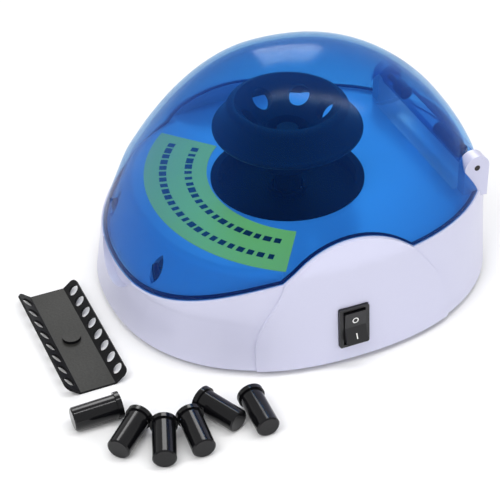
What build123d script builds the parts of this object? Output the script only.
from build123d import *
import os
from math import atan, atan2, cos, copysign, degrees, radians, sin, sqrt, tan

# Microcentrifuge with a domed, hinged lid, a six-place angle rotor, an eight-place strip rotor
# and six tube sleeves. Millimetres, +Z up, bench at z = 0, finger scoop towards -Y, lid hinge
# towards +Y, power switch on the +X side. Everything is drawn with the rotor axis on Z and then
# moved by whole_shift, which puts the middle of machine and accessories together over the origin.
whole_shift = (-16.0, 19.2, 0.0)

# Outer form: a squared oval in plan, flared down to the foot and domed above the shoulder
casing_bottom = 3.0
crown_height = 122.6
plan_power = 2.25
plan_centre_y = -1.8
apex_y = -1.3
half_width = 79.5
side_flare = 4.0
side_shoulder = 53.0
side_dome_power = 1.05
front_reach = 88.6
front_flare = 4.4
front_shoulder = 30.5
front_dome_power = 1.05
back_reach = 98.3
back_flare = 2.4
back_shoulder = 43.0
back_dome_power = 1.58

# Walls, steps and gaps of the two mouldings
casing_wall = 2.6
lid_wall = 2.6
lid_reveal = 0.6
lid_seat_gap = 0.4
tub_gap = 0.9
deck_height = 51.0
deck_edge_radius = 4.5

# Parting line, seen from the side: low at the front, a hump over each side, level behind
rim_tip_height = 26.6
rim_front_y = -92.0
rim_front_slope = ((-77.0, 32.2), (-58.0, 40.2))
rim_front_cusp = (-35.0, 48.2)
rim_crown = (-3.0, 63.0)
rim_back_cusp = (29.3, 51.8)

# Raised side panels below the humps
pad_rise = 0.9
pad_front_edge = ((-42.7, 32.1), (-47.2, 22.9), (-48.9, 14.0))
pad_back_edge = ((34.5, 44.5), (43.5, 32.1), (49.3, 20.0), (50.9, 11.0))

# Finger scoop under the lid's front edge
scoop_radius = 23.0
scoop_bottom = 16.5
scoop_depth = 4.0

# Lid hinge
hinge_y = 76.7
hinge_height = 65.0
hinge_barrel_radius = 4.5
hinge_ear_radius = 6.5
hinge_ear_inner_x = 42.6
hinge_ear_width = 6.4
hinge_ear_gap = 0.4
hinge_pin_radius = 1.5
hinge_pin_grip = 8.0
hinge_pin_clearance = 0.07
hinge_notch_gap = 0.8
lid_rear_edge_height = 60.0
lid_shelf_thickness = 2.5
trough_radius = 16.4

# Lid catches at the front, the right one working the interlock
catch_x = 28.5
catch_height = 37.0
catch_length = 11.0
catch_width = 4.6
catch_reach = 1.6
catch_gap = 0.8
catch_slot_extra = 2.4
plunger_radius = 1.5
plunger_clearance = 0.06
plunger_length = 7.5
plunger_tip_gap = 0.2
plunger_stroke = 1.2
interlock_length = 20.0
interlock_depth = 9.0
interlock_height = 6.4
interlock_wall_gap = 0.6

# Black bowl in the deck below the rotor
bowl_flange_radius = 37.4
bowl_flange_thickness = 0.8
bowl_radius = 35.2
bowl_wall = 1.6
bowl_floor_height = 42.0
bowl_clearance = 0.3
bowl_hole_radius = 8.0
bowl_lip_height = 3.4

# Label on the deck, a plain arc
label_thickness = 0.3
label_centre_y = 13.5
label_inner_radius = 51.8
label_outer_radius = 82.4
label_start_angle = -137.0
label_end_angle = -33.0

# Angle rotor
rotor_seat_height = 60.0
rotor_hub_radius = 13.0
rotor_hub_top = 72.0
rotor_cup_radius = 10.5
rotor_rim_radius = 36.0
rotor_rim_height = 79.5
rotor_rim_band = 2.4
rotor_crest_height = 93.4
rotor_crest_radius = 27.2
rotor_crest_half = 1.9
rotor_neck = (31.2, 86.4)
well_count = 6
well_radius = 5.45
well_ring_radius = 18.0
well_ring_height = 86.7
well_tilt = 45.0
well_first_angle = 19.0
rotor_shell = 4.5
rotor_hollow_top_radius = 25.5
rotor_hollow_bend = ((27.6, 86.8), (29.8, 83.2))
rotor_rim_inner_radius = 32.6

# Spindle, its nut and the motor
spindle_stub_radius = 3.0
spindle_clearance = 0.05
spindle_body_radius = 6.5
spindle_seat_radius = 9.0
spindle_seat_thickness = 2.0
spindle_bottom = 39.5
spindle_thread_radius = 2.0
spindle_thread_top = 77.0
knob_radius = 5.6
knob_height = 7.0
knob_flutes = 12
knob_flute_radius = 0.7
motor_shaft_radius = 1.6
motor_shaft_clearance = 0.08
motor_radius = 18.0
motor_bottom = 9.5
motor_plate_height = 34.0
motor_plate_thickness = 1.6
motor_plate_side = 62.0
motor_plate_corner = 7.0
motor_boss_radius = 6.0
motor_boss_height = 2.4
motor_screw_ring = 12.5
motor_screw_radius = 1.5
motor_screw_head_radius = 2.7
motor_screw_head_height = 1.8
rotor_top_clearance = 0.3

# Rubber mounts and their posts
post_spacing = 48.0
post_radius = 3.6
damper_radius = 5.0
damper_waist_radius = 3.5
damper_overhang = 2.6
mount_screw_radius = 1.5
mount_screw_head_radius = 3.2
mount_screw_head_height = 1.8
mount_screw_depth = 8.0

# Base plate, feet and the screws that close the casing
plate_recess = 0.6
plate_thickness = 2.5
plate_clearance = 0.3
foot_positions = ((50.0, -56.0), (-50.0, -56.0), (50.0, 62.0), (-50.0, 62.0))
foot_radius = 8.0
foot_stem_radius = 2.5
foot_stem_length = 4.0
foot_cup_radius = 6.0
foot_cup_depth = 1.0
boss_positions = ((60.0, -18.0), (-60.0, -18.0), (58.0, 42.0), (-58.0, 42.0))
boss_radius = 4.2
case_screw_radius = 1.5
case_screw_length = 12.0
case_screw_head_radius = 2.9
case_screw_head_height = 1.6
vent_count = 7
vent_pitch = 6.0
vent_length = 26.0
vent_width = 2.2
vent_centre_y = -44.0

# Rocker switch
switch_y = -3.5
switch_height = 21.3
switch_width = 15.0
switch_length = 21.0
switch_flange = 1.8
switch_flange_sink = 0.5
switch_corner = 1.0
switch_body_width = 12.8
switch_body_length = 18.6
switch_body_depth = 15.0
switch_body_clearance = 0.2
rocker_width = 10.6
rocker_length = 15.6
rocker_foot_length = 13.0
rocker_depth = 6.5
rocker_rise = 2.6
rocker_dip = 2.0
rocker_side_gap = 0.3
rocker_end_gap = 1.3
rocker_floor_gap = 1.4
rocker_pivot_depth = 2.2
rocker_pivot_radius = 1.0
rocker_pivot_length = 0.7
rocker_pivot_clearance = 0.05
rocker_throw = 9.0

# Low-voltage inlet at the back
inlet_height = 17.0
inlet_face_radius = 6.3
inlet_face_thickness = 1.5
inlet_body_radius = 5.0
inlet_body_length = 14.0
inlet_bore_radius = 3.15
inlet_bore_depth = 10.0
inlet_pin_radius = 1.05
inlet_nut_radius = 7.2
inlet_nut_thickness = 2.2

# Control board
board_centre = (-20.0, 58.0)
board_size = (50.0, 30.0)
board_thickness = 1.6
board_height = 12.0
board_hole_inset = 3.5
standoff_radius = 2.6
board_screw_radius = 1.2
board_screw_head_radius = 2.2
board_screw_head_height = 1.2
board_screw_depth = 4.0

# Strip rotor for two rows of eight small tubes, standing on the bench
strip_centre = (16.5, -119.0)
strip_heading = 0.5
strip_holes = 8
strip_pitch = 9.0
strip_end_margin = 6.5
strip_plate_width = 17.5
strip_thickness = 1.2
strip_wing_width = 8.2
strip_wing_angle = 40.0
strip_wing_corner = 3.2
strip_hole_radius = 2.9
strip_hub_radius = 4.4
strip_hub_rise = 1.6
strip_hub_cap = 1.0

# Sleeves for smaller tubes, lying on the bench
sleeve_length = 22.5
sleeve_fit = 0.05
sleeve_flange_radius = 6.3
sleeve_flange_length = 2.2
sleeve_bore_radius = 3.9
sleeve_floor = 1.4
sleeve_edge = 0.6
sleeve_places = (
    (75.0, -114.7, -90.6),
    (85.2, -109.0, -45.6),
    (93.5, -101.1, -19.4),
    (93.2, -89.1, -3.6),
    (85.6, -80.4, 27.1),
    (92.0, -59.2, -1.2),
)

# Sizes that follow from the ones above
tub_inset = lid_reveal + lid_wall + tub_gap
lid_inner_inset = lid_reveal + lid_wall
plate_bottom = casing_bottom + plate_recess
plate_top = plate_bottom + plate_thickness
well_direction = (cos(radians(well_tilt)), -sin(radians(well_tilt)))
far = 2 * max(half_width, front_reach, back_reach)
outline_steps = 20
straight_top = front_shoulder - 3.5
shoulder_levels = (straight_top, front_shoulder, 34.0, 38.5, back_shoulder, 48.0)
dome_levels = (0, 0.07, 0.16, 0.26, 0.37, 0.48, 0.59, 0.7, 0.79, 0.87, 0.93, 0.97, 0.99)


def reach_at(z, shoulder, width, flare, power, top):
    """Distance of the wall from the middle at height z: flared below the shoulder, domed above."""
    if z <= shoulder:
        return width + flare * (shoulder - z) / (shoulder - casing_bottom)
    return width * sqrt(1 - ((z - shoulder) / (top - shoulder)) ** power)


def plan_at(z, inset):
    """Half width, middle line, front reach and back reach of the form at height z."""
    top = crown_height - inset
    half = reach_at(z, side_shoulder, half_width - inset, side_flare, side_dome_power, top)
    front = reach_at(z, front_shoulder, front_reach - inset, front_flare, front_dome_power, top)
    back = reach_at(z, back_shoulder, back_reach - inset, back_flare, back_dome_power, top)
    drift = (apex_y - plan_centre_y) * max(0, 1 - half / (half_width - inset))
    return half, plan_centre_y + drift, front, back


def side_x(y, z, inset=0.0):
    """X of the form's right wall beside the point y, z."""
    half, middle, front, back = plan_at(z, inset)
    share = abs(y - middle) / (back if y > middle else front)
    return half * (1 - share**plan_power) ** (1 / plan_power)


def front_y(x, z, inset=0.0):
    half, middle, front, back = plan_at(z, inset)
    return middle - front * (1 - (abs(x) / half) ** plan_power) ** (1 / plan_power)


def back_y(x, z, inset=0.0):
    half, middle, front, back = plan_at(z, inset)
    return middle + back * (1 - (abs(x) / half) ** plan_power) ** (1 / plan_power)


def plan_wire(z, inset, height=None):
    half, middle, front, back = plan_at(z, inset)
    points = []
    for step in range(outline_steps):
        angle = radians(90 + 360 * step / outline_steps)
        across, along = cos(angle), sin(angle)
        x = half * copysign(abs(across) ** (2 / plan_power), across)
        y = (back if along > 0 else front) * copysign(abs(along) ** (2 / plan_power), along)
        points.append(Vector(x, middle + y, z if height is None else height))
    return Wire([Edge.make_spline(points, periodic=True)])


def form(inset, below=0.0):
    """The whole outer form, moved inwards by inset and started lower by below."""
    top = crown_height - inset
    levels = [side_shoulder + share * (top - side_shoulder) for share in dome_levels]
    wires = [plan_wire(z, inset) for z in (*shoulder_levels, *levels)]
    foot = Solid.make_loft([plan_wire(casing_bottom - below, inset), wires[0]], ruled=True)
    return foot.fuse(Solid.make_loft(wires + [Vertex(0, apex_y, top)]))


def slab(low, high):
    """Everything between two heights."""
    return Pos(0, 0, (low + high) / 2) * Box(2 * far, 2 * far, high - low)


def side_prism(outline, width=far):
    """An outline drawn in Y and Z, carried along X on both sides."""
    return extrude(make_face(Plane.YZ * outline), amount=width, both=True)


def under_rim(lift=0.0):
    """Everything below the parting line raised by lift."""
    start = (rim_front_y, rim_tip_height + lift)
    slope = [(y, z + lift) for y, z in rim_front_slope]
    cusp = (rim_front_cusp[0], rim_front_cusp[1] + lift)
    back = (rim_back_cusp[0], rim_back_cusp[1] + lift)
    line = Curve() + [
        Line((-far, start[1]), start),
        Spline(start, *slope, cusp),
        ThreePointArc(cusp, (rim_crown[0], rim_crown[1] + lift), back),
        Line(back, (far, back[1])),
        Polyline((far, back[1]), (far, -far), (-far, -far), (-far, start[1])),
    ]
    return side_prism(line)


def rod(radius, length, position, direction):
    """A cylinder that starts at position and runs along direction."""
    plane = Plane(origin=position, z_dir=direction)
    return plane * Cylinder(radius, length, align=(Align.CENTER, Align.CENTER, Align.MIN))


def upright(radius, low, high, x=0.0, y=0.0):
    return rod(radius, high - low, (x, y, low), (0, 0, 1))


def across(radius, start, end, y, z):
    return rod(radius, end - start, (start, y, z), (1, 0, 0))


def turned(*outline):
    """A solid of revolution about Z from an outline of radius and height."""
    return revolve(make_face(Plane.XZ * Polyline(*outline, close=True)), Axis.Z)


def lens_prism(x, height, length, width, y_low, y_high):
    """A pointed oval, seen from the front, carried along Y."""
    bulge = width / 2
    ends = ((x, height - length / 2), (x, height + length / 2))
    line = Curve() + [
        ThreePointArc(ends[0], (x + bulge, height), ends[1]),
        ThreePointArc(ends[1], (x - bulge, height), ends[0]),
    ]
    plane = Plane(origin=(0, y_high, 0), x_dir=(1, 0, 0), z_dir=(0, -1, 0))
    return extrude(make_face(plane * line), amount=y_high - y_low)


def one_solid(shape):
    """The largest solid of a result, without stray slivers."""
    return max(shape.solids(), key=lambda solid: solid.volume)


outer_form = form(0)
lid_inner_form = form(lid_inner_inset)
hinge_ear_outer_x = hinge_ear_inner_x + hinge_ear_width
barrel_half = hinge_ear_inner_x - hinge_ear_gap


def switch_plane(depth=0.0):
    """Plane of the switch's seat on the right panel, facing out, depth below the panel."""
    tilt = atan(side_flare / (side_shoulder - casing_bottom))
    normal = (cos(tilt), 0, sin(tilt))
    x = side_x(switch_y, switch_height, -pad_rise)
    origin = (x - depth * normal[0], switch_y, switch_height - depth * normal[2])
    return Plane(origin=origin, x_dir=(0, 1, 0), z_dir=normal)


def box_on(plane, width, length, low, high):
    """A box on a plane, between two distances from it."""
    return plane * Pos(0, 0, (low + high) / 2) * Box(width, length, high - low)


def side_pads():
    """A bar in the outline of the raised side panels, reaching just outside both walls."""
    front = [rim_front_cusp, *pad_front_edge]
    back = [rim_back_cusp, *pad_back_edge]
    floor_front = (front[-1][0], casing_bottom)
    floor_back = (back[-1][0], casing_bottom)
    above = side_shoulder + deck_height
    line = Curve() + [
        Spline(*front, floor_front),
        Line(floor_front, floor_back),
        Spline(floor_back, *reversed(back)),
        Polyline(rim_back_cusp, (rim_back_cusp[0], above), (rim_front_cusp[0], above), rim_front_cusp),
    ]
    return form(-pad_rise) & side_prism(line)


def hinge_ears():
    """Two rounded ears behind the deck, carrying the hinge pins."""
    ears = []
    for side in (-1, 1):
        start = hinge_ear_inner_x if side > 0 else -hinge_ear_outer_x
        top = across(hinge_ear_radius, start, start + hinge_ear_width, hinge_y, hinge_height)
        foot = hinge_height - (deck_height - casing_wall)
        post = Pos(start + hinge_ear_width / 2, hinge_y, hinge_height - foot / 2) * Box(
            hinge_ear_width, 2 * hinge_ear_radius, foot)
        hole = across(hinge_pin_radius, start - 1, start + hinge_ear_width + 1, hinge_y, hinge_height)
        ears.append(top + post - hole)
    return ears


def base_housing():
    body = (outer_form + side_pads()) & under_rim()
    body -= lid_inner_form & slab(deck_height, far)
    tub = form(tub_inset) & slab(-far, deck_height)
    body += fillet(tub.edges().group_by(Axis.Z)[-1], deck_edge_radius)

    scoop_height = scoop_bottom + scoop_radius
    scoop = rod(scoop_radius, far, (0, plan_centre_y, scoop_height), (0, -1, 0))
    backing = rod(scoop_radius + casing_wall, far, (0, plan_centre_y, scoop_height), (0, -1, 0))
    trough = across(trough_radius, -barrel_half, barrel_half, hinge_y, hinge_height)
    trough_wall = across(trough_radius + casing_wall, -hinge_ear_outer_x, hinge_ear_outer_x,
                         hinge_y, hinge_height)
    low_cavity = form(casing_wall, below=1) & (under_rim(-casing_wall) & slab(-far, deck_height - casing_wall))
    low_cavity -= backing - form(scoop_depth + casing_wall)
    high_cavity = form(tub_inset + casing_wall, below=1) & slab(-far, deck_height - casing_wall)
    hanger_bottom = catch_height + interlock_height / 2
    inside_y = inner_front_y()
    hanger = Pos(catch_x, inside_y + interlock_wall_gap + interlock_depth / 2,
                 (hanger_bottom + deck_height) / 2) * Box(
        interlock_length, interlock_depth, deck_height - hanger_bottom)
    bosses = [upright(boss_radius, plate_top, deck_height, x, y) for x, y in boss_positions]
    body -= (low_cavity + high_cavity) - [trough_wall, hanger, *bosses]
    body += hinge_ears()

    slots = [lens_prism(side * catch_x, catch_height + catch_slot_extra / 2,
                        catch_length + 2 * catch_gap + catch_slot_extra,
                        catch_width + 2 * catch_gap,
                        front_y(catch_x, catch_height),
                        inside_y + interlock_wall_gap) for side in (-1, 1)]
    screw_holes = [upright(case_screw_radius, 0, plate_top + case_screw_length, x, y)
                   for x, y in boss_positions]
    seat = switch_plane()
    switch_recess = box_on(seat, switch_width + 2 * switch_body_clearance,
                           switch_length + 2 * switch_body_clearance, -switch_flange_sink, 5)
    switch_hole = box_on(seat, switch_body_width + 2 * switch_body_clearance,
                         switch_body_length + 2 * switch_body_clearance, -switch_body_depth, 5)
    inlet_y = back_y(0, inlet_height)
    inlet_hole = rod(inlet_body_radius + switch_body_clearance, far, (0, 0, inlet_height), (0, 1, 0))
    inlet_recess = rod(inlet_face_radius + 0.4, far, (0, inlet_y - 0.5, inlet_height), (0, 1, 0))
    bowl_hole = upright(bowl_radius + bowl_clearance, 0, far)
    body -= [trough, scoop - form(scoop_depth), bowl_hole, switch_recess, switch_hole, inlet_hole,
             inlet_recess, *slots, *screw_holes]
    return one_solid(body)


def base_plate():
    outline = plan_wire(plate_top, casing_wall + plate_clearance, plate_bottom)
    plate = extrude(make_face(outline), amount=plate_thickness, dir=(0, 0, 1))
    half = post_spacing / 2
    for x, y in ((half, half), (-half, half), (half, -half), (-half, -half)):
        post_top = motor_plate_height - damper_overhang
        plate += upright(post_radius, plate_bottom, post_top, x, y)
        plate -= upright(mount_screw_radius, post_top - mount_screw_depth, far, x, y)
    for x, y in standoffs():
        plate += upright(standoff_radius, plate_bottom, board_height, x, y)
        plate -= upright(board_screw_radius, board_height - board_screw_depth, far, x, y)
    for x, y in foot_positions:
        plate -= upright(foot_stem_radius, 0, plate_top, x, y)
    for x, y in boss_positions:
        plate -= upright(case_screw_radius + 0.2, 0, plate_top, x, y)
        plate -= upright(case_screw_head_radius + 0.3, 0, plate_bottom + case_screw_head_height, x, y)
    for number in range(vent_count):
        x = (number - (vent_count - 1) / 2) * vent_pitch
        slot = Pos(x, vent_centre_y) * SlotOverall(vent_length, vent_width, rotation=90)
        plate -= extrude(slot, amount=far)
    return one_solid(plate)


def standoffs():
    dx, dy = board_size[0] / 2 - board_hole_inset, board_size[1] / 2 - board_hole_inset
    x, y = board_centre
    return [(x + sx * dx, y + sy * dy) for sx in (-1, 1) for sy in (-1, 1)]


def rubber_foot(x, y):
    disc = upright(foot_radius, 0, plate_bottom, x, y)
    disc -= Pos(x, y, 0) * turned((0, 0), (foot_cup_radius, 0), (0, foot_cup_depth))
    return disc + upright(foot_stem_radius, plate_bottom, plate_bottom + foot_stem_length, x, y)


def case_screws():
    seat = plate_bottom + case_screw_head_height
    return [upright(case_screw_head_radius, plate_bottom, seat, x, y)
            + upright(case_screw_radius, seat, plate_top + case_screw_length, x, y)
            for x, y in boss_positions]


def chamber_bowl():
    top = deck_height + bowl_flange_thickness
    inner_floor = bowl_floor_height + bowl_wall
    return turned(
        (bowl_hole_radius, bowl_floor_height),
        (bowl_radius, bowl_floor_height),
        (bowl_radius, deck_height),
        (bowl_flange_radius, deck_height),
        (bowl_flange_radius, top),
        (bowl_radius - bowl_wall, top),
        (bowl_radius - bowl_wall, inner_floor),
        (bowl_hole_radius + bowl_wall, inner_floor),
        (bowl_hole_radius + bowl_wall, inner_floor + bowl_lip_height),
        (bowl_hole_radius, inner_floor + bowl_lip_height),
    )


def warning_label():
    """A plain arc of label stock, flat on the deck in front of the bowl."""
    middle = (label_start_angle + label_end_angle) / 2

    def at(radius, angle):
        return (radius * cos(radians(angle)), label_centre_y + radius * sin(radians(angle)))

    line = Curve() + [
        ThreePointArc(*(at(label_outer_radius, a)
                        for a in (label_start_angle, middle, label_end_angle))),
        Line(at(label_outer_radius, label_end_angle), at(label_inner_radius, label_end_angle)),
        ThreePointArc(*(at(label_inner_radius, a) for a in (label_end_angle, middle, label_start_angle))),
        Line(at(label_inner_radius, label_start_angle), at(label_outer_radius, label_start_angle)),
    ]
    return Pos(0, 0, deck_height) * extrude(make_face(line), amount=label_thickness)


def lid():
    notch_outer = hinge_ear_outer_x + hinge_notch_gap / 2
    notch_front = hinge_y - hinge_ear_radius - hinge_notch_gap
    notch_width = notch_outer - barrel_half
    behind = Pos(0, notch_front + far / 2, 0)
    cutters = [lid_inner_form, under_rim(lid_seat_gap)]
    cutters.append(behind * Pos(0, 0, lid_rear_edge_height - far / 2) * Box(2 * notch_outer, far, far))
    catches, bores = [], []
    catch_root = front_y(catch_x, catch_height, lid_reveal + lid_wall / 2)
    catch_tip = front_y(catch_x, catch_height, tub_inset + catch_reach)
    for side in (-1, 1):
        start = barrel_half if side > 0 else -notch_outer
        cutters.append(across(hinge_ear_radius + hinge_notch_gap, start, start + notch_width,
                              hinge_y, hinge_height))
        cutters.append(behind * Pos(start + notch_width / 2, 0, hinge_height - far / 2)
                       * Box(notch_width, far, far))
        grip_start = barrel_half - hinge_pin_grip if side > 0 else -barrel_half - 1
        bores.append(across(hinge_pin_radius + hinge_pin_clearance, grip_start,
                            grip_start + hinge_pin_grip + 1, hinge_y, hinge_height))
        catches.append(lens_prism(side * catch_x, catch_height, catch_length, catch_width,
                                  catch_root, catch_tip))
    shelf = Pos(0, hinge_y + far / 2, hinge_height - lid_shelf_thickness / 2) * Box(
        2 * barrel_half, far, lid_shelf_thickness)
    barrel = across(hinge_barrel_radius, -barrel_half, barrel_half, hinge_y, hinge_height)
    shell = form(lid_reveal) - cutters
    shell += [shelf & form(lid_reveal + lid_wall / 2), barrel, *catches]
    return one_solid(shell - bores)


def hinge_pin(side):
    inner = barrel_half - hinge_pin_grip + 0.5
    start = inner if side > 0 else -hinge_ear_outer_x
    return across(hinge_pin_radius, start, start + hinge_ear_outer_x - inner, hinge_y, hinge_height)


def inner_front_y():
    """Inner face of the tub's front wall where the interlock hangs behind it."""
    return front_y(catch_x + interlock_length / 2, catch_height + interlock_height / 2,
                   tub_inset + casing_wall)


def interlock_switch():
    front = inner_front_y() + interlock_wall_gap
    case = Pos(catch_x, front + interlock_depth / 2, catch_height) * Box(
        interlock_length, interlock_depth, interlock_height)
    return case - rod(plunger_radius + plunger_clearance, far,
                      (catch_x, front + interlock_depth - 2, catch_height), (0, -1, 0))


def interlock_plunger():
    """Button of the interlock, held in by the right-hand catch while the lid is down."""
    tip = front_y(catch_x, catch_height, tub_inset + catch_reach) + plunger_tip_gap
    return rod(plunger_radius, plunger_length, (catch_x, tip, catch_height), (0, 1, 0))


def rotor():
    """Angle rotor: a hollow funnel with a rolled crest, a flared rim and six slanted wells."""
    slope = tan(radians(90 - well_tilt))

    def funnel(radius, depth=0.0):
        return well_ring_height + (radius - well_ring_radius) * slope - depth / sin(radians(well_tilt))

    bore = spindle_stub_radius + spindle_clearance
    rim_low = (rotor_rim_radius - rotor_rim_band / 2, rotor_rim_height - rotor_rim_band / 2)
    rim_inner = (rotor_rim_inner_radius, rim_low[1])
    hollow_top = (rotor_hollow_top_radius, funnel(rotor_hollow_top_radius, rotor_shell))
    rim = (rotor_rim_radius, rotor_rim_height)
    rim_high = (rotor_rim_radius - rotor_rim_band / 2, rotor_rim_height + rotor_rim_band)
    crest_outer = (rotor_crest_radius + rotor_crest_half, rotor_crest_height - rotor_crest_half)
    crest = (rotor_crest_radius, rotor_crest_height)
    lip_radius = rotor_crest_radius - rotor_crest_half
    crest_inner = (lip_radius, funnel(lip_radius))
    line = Curve() + [
        Polyline((bore, rotor_seat_height), (rotor_hub_radius, rotor_seat_height),
                 (rotor_hub_radius, funnel(rotor_hub_radius, rotor_shell)), hollow_top,
                 rotor_hollow_bend[0]),
        ThreePointArc(*rotor_hollow_bend, rim_inner),
        Line(rim_inner, rim_low),
        ThreePointArc(rim_low, rim, rim_high),
        ThreePointArc(rim_high, rotor_neck, crest_outer),
        ThreePointArc(crest_outer, crest, crest_inner),
        Polyline(crest_inner, (rotor_cup_radius, funnel(rotor_cup_radius)),
                 (rotor_cup_radius, rotor_hub_top), (bore, rotor_hub_top), (bore, rotor_seat_height)),
    ]
    body = revolve(make_face(Plane.XZ * line), Axis.Z)
    for number in range(well_count):
        angle = radians(well_first_angle + 360 * number / well_count)
        heading = (cos(angle) * well_direction[0], sin(angle) * well_direction[0], well_direction[1])
        mouth = (well_ring_radius * cos(angle), well_ring_radius * sin(angle), well_ring_height)
        body -= Plane(origin=mouth, z_dir=heading) * Cylinder(well_radius, 2 * well_ring_radius + 14)
    return one_solid(body)


def retaining_knob():
    bottom = rotor_hub_top
    knob = upright(knob_radius, bottom, bottom + knob_height)
    knob = chamfer(knob.edges().group_by(Axis.Z)[-1], 0.6)
    for number in range(knob_flutes):
        angle = radians(360 * number / knob_flutes)
        knob -= upright(knob_flute_radius, bottom - 1, bottom + knob_height + 1,
                        knob_radius * cos(angle), knob_radius * sin(angle))
    return knob - upright(spindle_thread_radius + spindle_clearance, bottom - 1, spindle_thread_top + 0.3)


def spindle():
    seat_bottom = rotor_seat_height - spindle_seat_thickness
    return turned(
        (motor_shaft_radius, spindle_bottom),
        (spindle_body_radius, spindle_bottom),
        (spindle_body_radius, seat_bottom - 2),
        (spindle_seat_radius, seat_bottom),
        (spindle_seat_radius, rotor_seat_height),
        (spindle_stub_radius, rotor_seat_height),
        (spindle_stub_radius, rotor_hub_top - rotor_top_clearance),
        (spindle_thread_radius, rotor_hub_top - rotor_top_clearance),
        (spindle_thread_radius, spindle_thread_top),
        (0, spindle_thread_top),
        (0, seat_bottom - 4),
        (motor_shaft_radius, seat_bottom - 4),
    )


def motor_shaft():
    return upright(motor_shaft_radius, motor_bottom + 8, rotor_seat_height - spindle_seat_thickness - 4)


def motor():
    can = upright(motor_radius, motor_bottom, motor_plate_height)
    can = fillet(can.edges().group_by(Axis.Z)[0], 1.5)
    can += upright(motor_boss_radius, motor_plate_height, motor_plate_height + motor_boss_height)
    can += upright(motor_boss_radius - 1, motor_bottom - 1.4, motor_bottom)
    can -= upright(motor_shaft_radius + motor_shaft_clearance, motor_bottom + 7.8, far)
    for side in (-1, 1):
        can -= upright(motor_screw_radius, motor_plate_height - 4, far, side * motor_screw_ring)
    return can


def motor_plate():
    half = post_spacing / 2
    plate = extrude(Rectangle(motor_plate_side, motor_plate_side), amount=motor_plate_thickness)
    plate = fillet(plate.edges().filter_by(Axis.Z), motor_plate_corner)
    plate = Pos(0, 0, motor_plate_height) * plate
    plate -= upright(motor_boss_radius, 0, far)
    for side in (-1, 1):
        plate -= upright(motor_screw_radius, 0, far, side * motor_screw_ring)
    for x, y in ((half, half), (-half, half), (half, -half), (-half, -half)):
        plate -= upright(damper_waist_radius, 0, far, x, y)
    return plate


def motor_screws():
    top = motor_plate_height + motor_plate_thickness
    return [upright(motor_screw_head_radius, top, top + motor_screw_head_height, x)
            + upright(motor_screw_radius, motor_plate_height - 4, top, x)
            for x in (-motor_screw_ring, motor_screw_ring)]


def damper(x, y):
    """Rubber grommet in a corner hole of the motor plate, on its post."""
    low = motor_plate_height - damper_overhang
    high = motor_plate_height + motor_plate_thickness + damper_overhang
    return Pos(x, y, 0) * turned(
        (mount_screw_radius, low), (damper_radius, low), (damper_radius, motor_plate_height),
        (damper_waist_radius, motor_plate_height),
        (damper_waist_radius, motor_plate_height + motor_plate_thickness),
        (damper_radius, motor_plate_height + motor_plate_thickness), (damper_radius, high),
        (mount_screw_radius, high))


def mount_screws():
    half = post_spacing / 2
    head = motor_plate_height + motor_plate_thickness + damper_overhang
    low = motor_plate_height - damper_overhang - mount_screw_depth
    return [upright(mount_screw_head_radius, head, head + mount_screw_head_height, x, y)
            + upright(mount_screw_radius, low, head, x, y)
            for x, y in ((half, half), (-half, half), (half, -half), (-half, -half))]


def rocker_profile(grow=0.0):
    """Side view of the rocker: ends raised, middle dipped, sides drawn in towards the foot."""
    top, foot = rocker_length / 2 + grow, rocker_foot_length / 2 + grow
    return Polyline((-top, rocker_rise), (0, rocker_rise - rocker_dip), (top, rocker_rise),
                    (foot, -rocker_depth), (-foot, -rocker_depth), close=True)


def switch_frame():
    """Plane through the rocker's pivot: local X out of the wall, Y up the wall, Z along the pivot."""
    seat = switch_plane(switch_flange_sink - switch_flange)
    origin = seat.origin - seat.z_dir * rocker_pivot_depth
    return seat, origin


def switch_body():
    seat, pivot = switch_frame()
    flange = box_on(seat, switch_width, switch_length, -switch_flange, 0)
    flange = fillet(flange.edges().filter_by(Axis((0, 0, 0), seat.z_dir)), switch_corner)
    body = box_on(seat, switch_body_width, switch_body_length, -switch_body_depth, -switch_flange)
    pocket = box_on(seat, rocker_width + 2 * rocker_side_gap, rocker_length + 2 * rocker_end_gap,
                    -rocker_depth - rocker_floor_gap, 1)
    pivot_length = rocker_width + 2 * rocker_pivot_length + 0.2
    hole = Plane(origin=pivot, z_dir=seat.x_dir) * Cylinder(
        rocker_pivot_radius + rocker_pivot_clearance, pivot_length)
    for offset in (-4.5, 4.5):
        body += seat * Pos(0, offset, -switch_body_depth - 3) * Box(4.8, 0.8, 6)
    return flange + body - pocket - hole


def switch_rocker():
    seat, pivot = switch_frame()
    side = Plane(origin=seat.origin, x_dir=seat.y_dir, z_dir=seat.x_dir)
    body = extrude(make_face(side * rocker_profile()), amount=rocker_width / 2, both=True)
    pin = Plane(origin=pivot, z_dir=seat.x_dir) * Cylinder(
        rocker_pivot_radius, rocker_width + 2 * rocker_pivot_length)
    return (body + pin).rotate(Axis(pivot, seat.x_dir), -rocker_throw)


def inlet():
    face = back_y(0, inlet_height) - 0.5 + inlet_face_thickness
    body = rod(inlet_face_radius, inlet_face_thickness, (0, face, inlet_height), (0, -1, 0))
    body += rod(inlet_body_radius, inlet_body_length, (0, face, inlet_height), (0, -1, 0))
    body -= rod(inlet_bore_radius, inlet_bore_depth, (0, face, inlet_height), (0, -1, 0))
    pin_length = inlet_body_length - 1.5
    return body + rod(inlet_pin_radius, pin_length, (0, face - 1.5, inlet_height), (0, -1, 0))


def inlet_nut():
    inside = back_y(inlet_nut_radius, inlet_height + inlet_nut_radius, casing_wall)
    nut = extrude(RegularPolygon(inlet_nut_radius, 6), amount=inlet_nut_thickness)
    nut = Plane(origin=(0, inside, inlet_height), z_dir=(0, -1, 0)) * nut
    return nut - rod(inlet_body_radius, far, (0, 0, inlet_height), (0, 1, 0))


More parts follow.
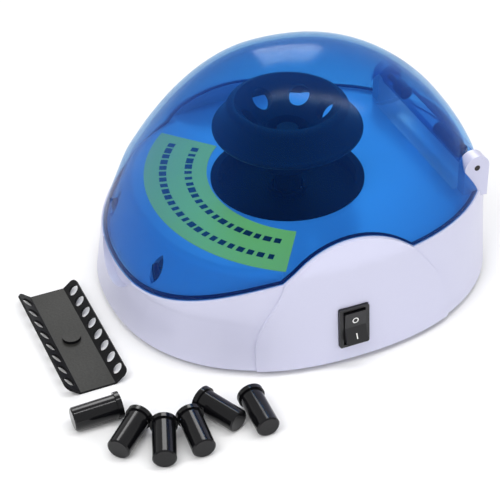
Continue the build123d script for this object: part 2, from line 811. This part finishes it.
def control_board():
    board = Pos(*board_centre, board_height + board_thickness / 2) * Box(*board_size, board_thickness)
    for x, y in standoffs():
        board -= upright(board_screw_radius, 0, far, x, y)
    return board


def board_screws():
    top = board_height + board_thickness
    return [upright(board_screw_head_radius, top, top + board_screw_head_height, x, y)
            + upright(board_screw_radius, board_height - board_screw_depth, top, x, y)
            for x, y in standoffs()]


def board_parts():
    """Smoothing capacitor, regulator and terminal block of the control board."""
    x, y = board_centre
    top = board_height + board_thickness
    return [
        upright(5.0, top, top + 12.5, x - 12, y + 2),
        Pos(x + 2, y + 6, top + 2.25) * Box(10, 4.5, 4.5),
        Pos(x + 14, y - 2, top + 4) * Box(8, 12, 8),
    ]


def strip_rotor():
    """Flat bar with a wing along each side, punched for two rows of eight small tubes."""
    length = (strip_holes - 1) * strip_pitch + 2 * strip_end_margin
    body = extrude(Rectangle(length, strip_plate_width), amount=strip_thickness)
    hub = upright(strip_hub_radius, 0, strip_thickness + strip_hub_rise)
    for side in (-1, 1):
        fold = Plane(origin=(0, side * strip_plate_width / 2, 0), x_dir=(side, 0, 0),
                     z_dir=(0, -side * sin(radians(strip_wing_angle)), cos(radians(strip_wing_angle))))
        wing = extrude(Pos(0, strip_wing_width / 2) * Rectangle(length, strip_wing_width),
                       amount=strip_thickness)
        tips = wing.edges().filter_by(Axis.Z).group_by(Axis.Y)[-1]
        wing = fillet(tips, strip_wing_corner)
        for number in range(strip_holes):
            x = (number - (strip_holes - 1) / 2) * strip_pitch
            wing -= Pos(x, strip_wing_width / 2 + 0.4, 0) * Cylinder(strip_hole_radius, 5 * strip_thickness)
        body += fold * wing
    socket_top = strip_thickness + strip_hub_rise - strip_hub_cap
    body = body + hub - upright(spindle_stub_radius + spindle_clearance, -1, socket_top)
    return Pos(*strip_centre, 0) * Rot(0, 0, strip_heading) * one_solid(body)


def sleeve(x, y, heading):
    """Tube sleeve on its side, flange first, rolled down until both ends touch the bench."""
    body_radius = well_radius - sleeve_fit
    tilt = atan2(sleeve_flange_radius - body_radius, sleeve_length - sleeve_flange_length)
    height = sleeve_flange_length * sin(tilt) + sleeve_flange_radius * cos(tilt)
    tube = rod(body_radius, sleeve_length, (0, 0, 0), (0, 0, 1))
    tube = chamfer(tube.edges().group_by(Axis.Z)[-1], sleeve_edge)
    tube += rod(sleeve_flange_radius, sleeve_flange_length, (0, 0, 0), (0, 0, 1))
    tube -= rod(sleeve_bore_radius, sleeve_length - sleeve_floor, (0, 0, 0), (0, 0, 1))
    turn = radians(heading)
    along = Vector(cos(turn) * cos(tilt), sin(turn) * cos(tilt), -sin(tilt))
    return Plane(origin=(x, y, height), z_dir=along) * tube


nodes = {
    "base_housing": base_housing(),
    "base_plate": base_plate(),
    "case_screws": case_screws(),
    "chamber_bowl": chamber_bowl(),
    "warning_label": warning_label(),
    "lid": lid(),
    "hinge_pin_right": hinge_pin(1),
    "hinge_pin_left": hinge_pin(-1),
    "interlock_switch": interlock_switch(),
    "interlock_plunger": interlock_plunger(),
    "rotor": rotor(),
    "retaining_knob": retaining_knob(),
    "spindle": spindle(),
    "motor_shaft": motor_shaft(),
    "motor": motor(),
    "motor_plate": motor_plate(),
    "motor_screws": motor_screws(),
    "mount_screws": mount_screws(),
    "switch_body": switch_body(),
    "switch_rocker": switch_rocker(),
    "power_inlet": inlet(),
    "inlet_nut": inlet_nut(),
    "control_board": control_board(),
    "board_screws": board_screws(),
    "board_parts": board_parts(),
    "strip_rotor": strip_rotor(),
}
for number, (x, y) in enumerate(foot_positions, 1):
    nodes[f"rubber_foot_{number}"] = rubber_foot(x, y)
corner = post_spacing / 2
for number, (x, y) in enumerate(((corner, corner), (-corner, corner), (corner, -corner), (-corner, -corner)), 1):
    nodes[f"rubber_mount_{number}"] = damper(x, y)
for number, place in enumerate(sleeve_places, 1):
    nodes[f"sleeve_{number}"] = sleeve(*place)

os.makedirs("parts", exist_ok=True)
for name, shape in nodes.items():
    pieces = shape if isinstance(shape, list) else shape.solids()
    placed = [Pos(*whole_shift) * one_solid(piece) for piece in pieces]
    export_step(Compound(children=placed), f"parts/{name}.step")
